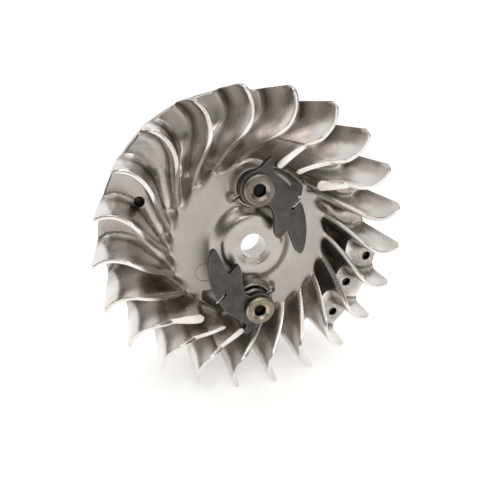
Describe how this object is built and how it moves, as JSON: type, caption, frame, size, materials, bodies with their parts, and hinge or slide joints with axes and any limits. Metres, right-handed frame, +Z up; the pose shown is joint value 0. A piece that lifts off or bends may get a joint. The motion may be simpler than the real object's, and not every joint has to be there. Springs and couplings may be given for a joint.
{
  "type": "flywheel",
  "caption": "Cast fan flywheel with curved cooling blades, sprung centrifugal starter pawls on socket-head pivot screws and an ignition magnet set in the rim.",
  "frame": {"origin": "on the wheel's axis at the front face of the hub, where the flywheel nut seats", "axes": "Y along the wheel axis with the fan and pawl side facing -Y; Z up; X to the right seen from the front"},
  "size_m": [0.106, 0.0386, 0.1058],
  "materials": {
    "cast_aluminium": "bead-blasted pressure casting, bare metal at the machined facets",
    "pawl_steel": "case-hardened dark steel, satin",
    "screw_steel": "zinc-plated, satin",
    "bush_steel": "turned steel",
    "spring_wire": "drawn spring wire",
    "magnet": "sintered, grey black",
    "pole_steel": "ground steel laminations with light rust stain"
  },
  "bodies": {
    "wheel": {"flywheel_casting": "cast_aluminium", "ignition_magnet": "magnet", "pole_shoe_leading": "pole_steel", "pole_shoe_trailing": "pole_steel", "pawl_bush_upper": "bush_steel", "pawl_bush_lower": "bush_steel", "pawl_screw_upper": "screw_steel", "pawl_screw_lower": "screw_steel", "pawl_spring_upper": "spring_wire", "pawl_spring_lower": "spring_wire"},
    "upper_pawl": {"starter_pawl_upper": "pawl_steel"},
    "lower_pawl": {"starter_pawl_lower": "pawl_steel"}
  },
  "joints": [
    {"name": "upper_pawl_swing", "type": "hinge", "parent": "wheel", "child": "upper_pawl", "pos_m": [-0.0003, -0.005, 0.0216], "axis": [0, -1, 0], "range_deg": [0, 24], "stiffness_Nm_per_rad": 0.006, "springref_deg": -28.65, "deforming": ["pawl_spring_upper"]},
    {"name": "lower_pawl_swing", "type": "hinge", "parent": "wheel", "child": "lower_pawl", "pos_m": [0.0003, -0.005, -0.0216], "axis": [0, -1, 0], "range_deg": [0, 24], "stiffness_Nm_per_rad": 0.006, "springref_deg": -28.65, "deforming": ["pawl_spring_lower"]}
  ]
}
